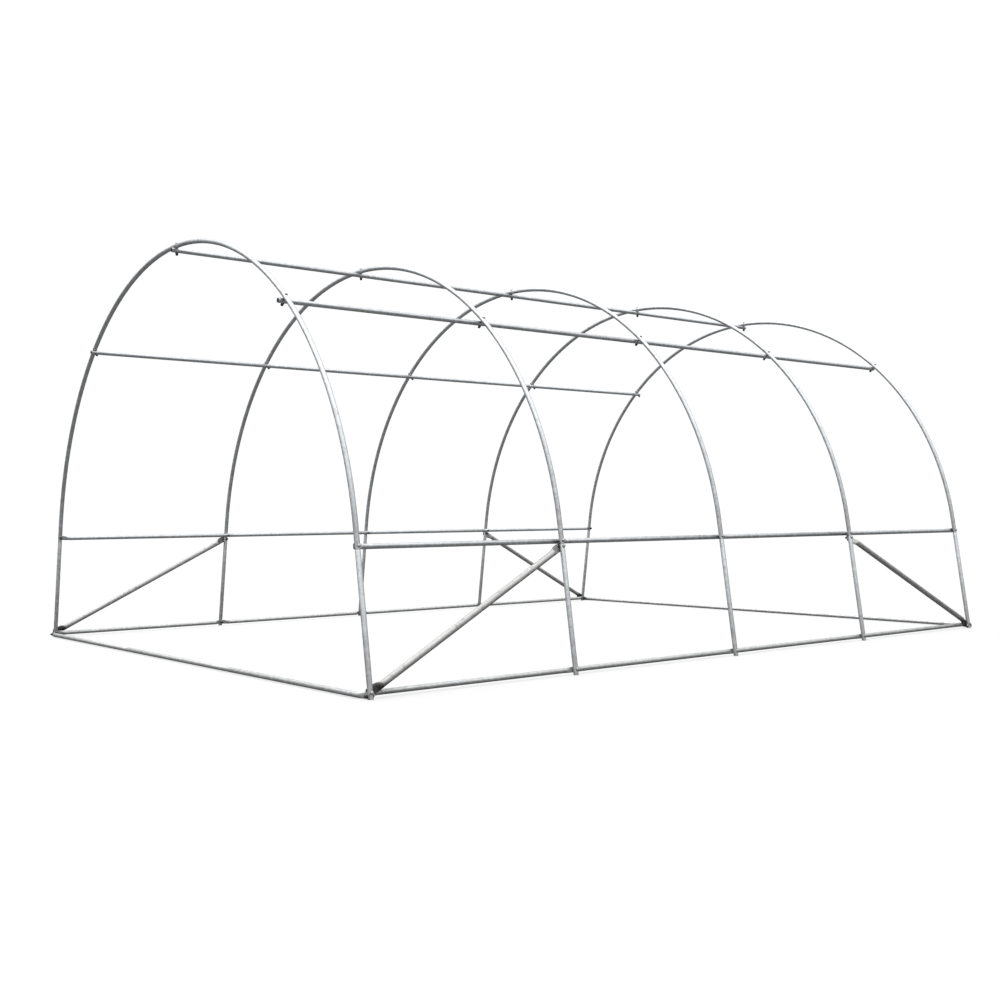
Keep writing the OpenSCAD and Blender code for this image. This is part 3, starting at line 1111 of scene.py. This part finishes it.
@dataclass
class Bolts(Assembly):
    """Every bolt of the frame, joined hoop by hoop: the metal in one piece, the caps in one."""

    cap_finish: bpy.types.Material
    make: BoltMake = field(default_factory=BoltMake)
    _sources: dict[float, tuple[bpy.types.Object, bpy.types.Object]] = field(
        default_factory=dict, init=False)

    def build(self) -> None:
        """Bolts every hoop and hands in two pieces for each."""
        for number in HOOPS:
            metals, caps = [], []
            for place, grip, capped in self._places(number):
                metal, cap = self._source(grip)
                label = f"hoop_{number}_{len(metals)}"
                metals.append(copy_piece(metal, f"{label}_m", place))
                if capped:
                    caps.append(copy_piece(cap, f"{label}_c", place))
            self.hand_in(join_pieces(metals, f"hoop_{number}_bolts"), "bolt", self.finish)
            self.hand_in(join_pieces(caps, f"hoop_{number}_caps"), "bolt_cap", self.cap_finish)
        for pair in self._sources.values():
            drop(*pair)

    def _source(self, grip: float) -> tuple[bpy.types.Object, bpy.types.Object]:
        """Bolt and cap for a grip, modelled on first use."""
        if grip not in self._sources:
            self._sources[grip] = (self.make.metal(grip), self.make.cap(grip))
        return self._sources[grip]

    def _places(self, number: int) -> list[tuple[Matrix, float, bool]]:
        """Where the bolts of one hoop go.

        Args:
            number: Number of the hoop, from 1 at the front.

        Returns:
            For each bolt its frame, whose Z points to the head and whose origin is on the
            outermost face it holds, its grip, and whether its nut has a cap.
        """
        size = self.size
        y = size.hoop_y(number)
        rail_grip = round(2 * size.tube_r + size.rail_offset, 5)
        found = []
        for turn in (1, 0, -1):
            angle = math.pi / 2 + turn * size.shoulder_angle
            face = size.bow_point(angle, size.bow_r + size.tube_r, y)
            outwards = Matrix.Rotation(math.pi / 2 - angle, 4, "Y")
            found.append((Matrix.Translation(face) @ outwards, rail_grip, True))
        at_corner = number in (1, 5)
        flat_grip = round(size.first_tab + size.flat / 2 + size.tube_r, 5)
        for side in Side:
            hip = self._in_wall(side, y, size.tube_r, size.hip_height)
            found.append((hip, flat_grip if at_corner else rail_grip, side is Side.LEFT))
            found.append(self._foot(side, number, y))
            if number in (2, 4):
                found.append(self._brace_head(side, y))
        if at_corner:
            found.extend(self._end_rail_bolts(End.FRONT if number == 1 else End.BACK, y))
        return found

    def _in_wall(self, side: Side, y: float, outer: float, height: float) -> Matrix:
        """Frame on the outer side of a leg, Z outwards."""
        return (self.size.leg_frame(side, y) @ Matrix.Translation((outer, 0, height))
                @ Matrix.Rotation(math.pi / 2, 4, "Y"))

    def _foot(self, side: Side, number: int, y: float) -> tuple[Matrix, float, bool]:
        """Bolt at a leg's foot, through the leg and two flats."""
        size = self.size
        braced_outside = side is Side.LEFT and number in (1, 5)
        outer = size.first_tab + size.flat / 2 if braced_outside else size.tube_r
        inner = size.first_tab if braced_outside else size.second_tab
        grip = round(outer + inner + size.flat / 2, 5)
        return self._in_wall(side, y, outer, size.foot_bolt), grip, True

    def _brace_head(self, side: Side, y: float) -> tuple[Matrix, float, bool]:
        """Bolt at the head of a brace, through the leg and one flat."""
        size = self.size
        stack = size.first_tab + size.flat / 2
        outer = size.tube_r if side is Side.RIGHT else stack
        grip = round(stack + size.tube_r, 5)
        return self._in_wall(side, y, outer, size.brace_head), grip, True

    def _end_rail_bolts(self, end: End, y: float) -> list[tuple[Matrix, float, bool]]:
        """Bolts that hold an end rail to the corner legs; their caps are on the outside."""
        size = self.size
        grip = round(size.first_tab + size.flat / 2 + size.tube_r, 5)
        x = size.half_span - size.end_rail_height * math.tan(size.lean)
        inwards = Matrix.Rotation(end.value * math.pi / 2, 4, "X")
        return [(Matrix.Translation((side.value * x, y - end.value * size.tube_r,
                                     size.end_rail_height)) @ inwards, grip, True)
                for side in Side]


@dataclass
class Studio:
    """Camera, floor and soft light."""

    camera_place: tuple[float, float, float] = (5.0423, -4.2151, 0.6257)
    right: tuple[float, float, float] = (0.63293937, 0.77415976, -0.00802684)
    up: tuple[float, float, float] = (0.01365387, -0.00079568, 0.99990647)
    lens: float = 44.75
    sensor: float = 36.0
    view_limit: float = 300.0
    backdrop: float = 1.02
    horizon: float = 0.72
    zenith: float = 2.9
    box_edges: tuple[float, float] = (0.08, 0.85)
    sky_colour: tuple[float, float, float, float] = (0.992, 0.997, 1.0, 1.0)
    sun_turn: tuple[float, float, float] = (math.radians(12), math.radians(-18), 0.0)
    sun_strength: float = 1.5
    sun_spread: float = math.radians(60)
    floor_size: float = 120.0

    def build(self) -> None:
        """Sets up camera, sky, sun and floor."""
        self._camera()
        self._sky()
        self._sun()
        self._floor()
        bpy.context.scene.view_settings.view_transform = "Standard"

    def _camera(self) -> None:
        """Camera at the viewing angle, without depth of field."""
        right, up = Vector(self.right), Vector(self.up)
        columns = Matrix((right, up, -up.cross(right).normalized())).transposed()
        deselect_all()
        bpy.ops.object.camera_add(location=self.camera_place,
                                  rotation=columns.to_euler())
        camera = bpy.context.active_object
        camera.name = "camera"
        camera.data.lens = self.lens
        camera.data.sensor_width = self.sensor
        camera.data.clip_end = self.view_limit
        bpy.context.scene.camera = camera

    def _sky(self) -> None:
        """Soft overhead light box above an even, nearly white backdrop."""
        world = bpy.context.scene.world or bpy.data.worlds.new("sky")
        bpy.context.scene.world = world
        sheet = Shader.for_world(world)
        height = sheet.node("ShaderNodeSeparateXYZ", {}, {
            "Vector": sheet.node("ShaderNodeTexCoord", {}, {}, "Generated")}, "Z")
        low, high = self.box_edges
        box = sheet.node("ShaderNodeMapRange", {"interpolation_type": "SMOOTHSTEP"}, {
            "Value": height, "From Min": low, "From Max": high, "To Min": self.horizon,
            "To Max": self.zenith})
        direct = sheet.node("ShaderNodeLightPath", {}, {}, "Is Camera Ray")
        strength = direct * self.backdrop + (1 - direct) * box
        background = world.node_tree.nodes["Background"]
        background.inputs["Color"].default_value = self.sky_colour
        sheet.feed(background.inputs["Strength"], strength)

    def _sun(self) -> None:
        """Broad light from overhead, a little from the left."""
        bpy.ops.object.light_add(type="SUN", rotation=self.sun_turn)
        sun = bpy.context.active_object
        sun.name = "overhead_light"
        sun.data.energy = self.sun_strength
        sun.data.angle = self.sun_spread

    def _floor(self) -> None:
        """Large pale floor whose middle is divided for an even shade."""
        deselect_all()
        bpy.ops.mesh.primitive_plane_add(size=self.floor_size)
        floor = bpy.context.active_object
        floor.name = "studio_floor"
        edit_whole(floor)
        bpy.ops.mesh.subdivide(number_cuts=4)
        bpy.ops.object.mode_set(mode="OBJECT")
        floor.data.materials.append(StudioFloor().make())


def main() -> None:
    """Builds the frame part by part and sets up the studio."""
    logging.basicConfig(level=logging.INFO, format="%(name)s: %(message)s")
    Studio().build()
    size = Layout()
    tube = GalvanisedTube("galvanised_tube").make()
    # the brace's material darkens its pressed foot with painted shade
    brace = GalvanisedTube("bright_brace_tube", bright=0.40, dull=0.28, warmth=0.01,
                           roughness=0.46, crystal_scale=60.0, edge_tint=0.3,
                           foot_painted_shade=0.85).make()
    assemblies = (
        Hoops(size, tube),
        LongRails(size, tube),
        BaseRails(size, tube),
        Braces(size, brace),
        Bolts(size, PlatedBolt().make(), CapPlastic().make()),
    )
    for assembly in assemblies:
        assembly.build()
        LOG.info("%s: %d pieces", type(assembly).__name__, len(assembly.pieces))
    deselect_all()


if __name__ == "__main__":
    main()
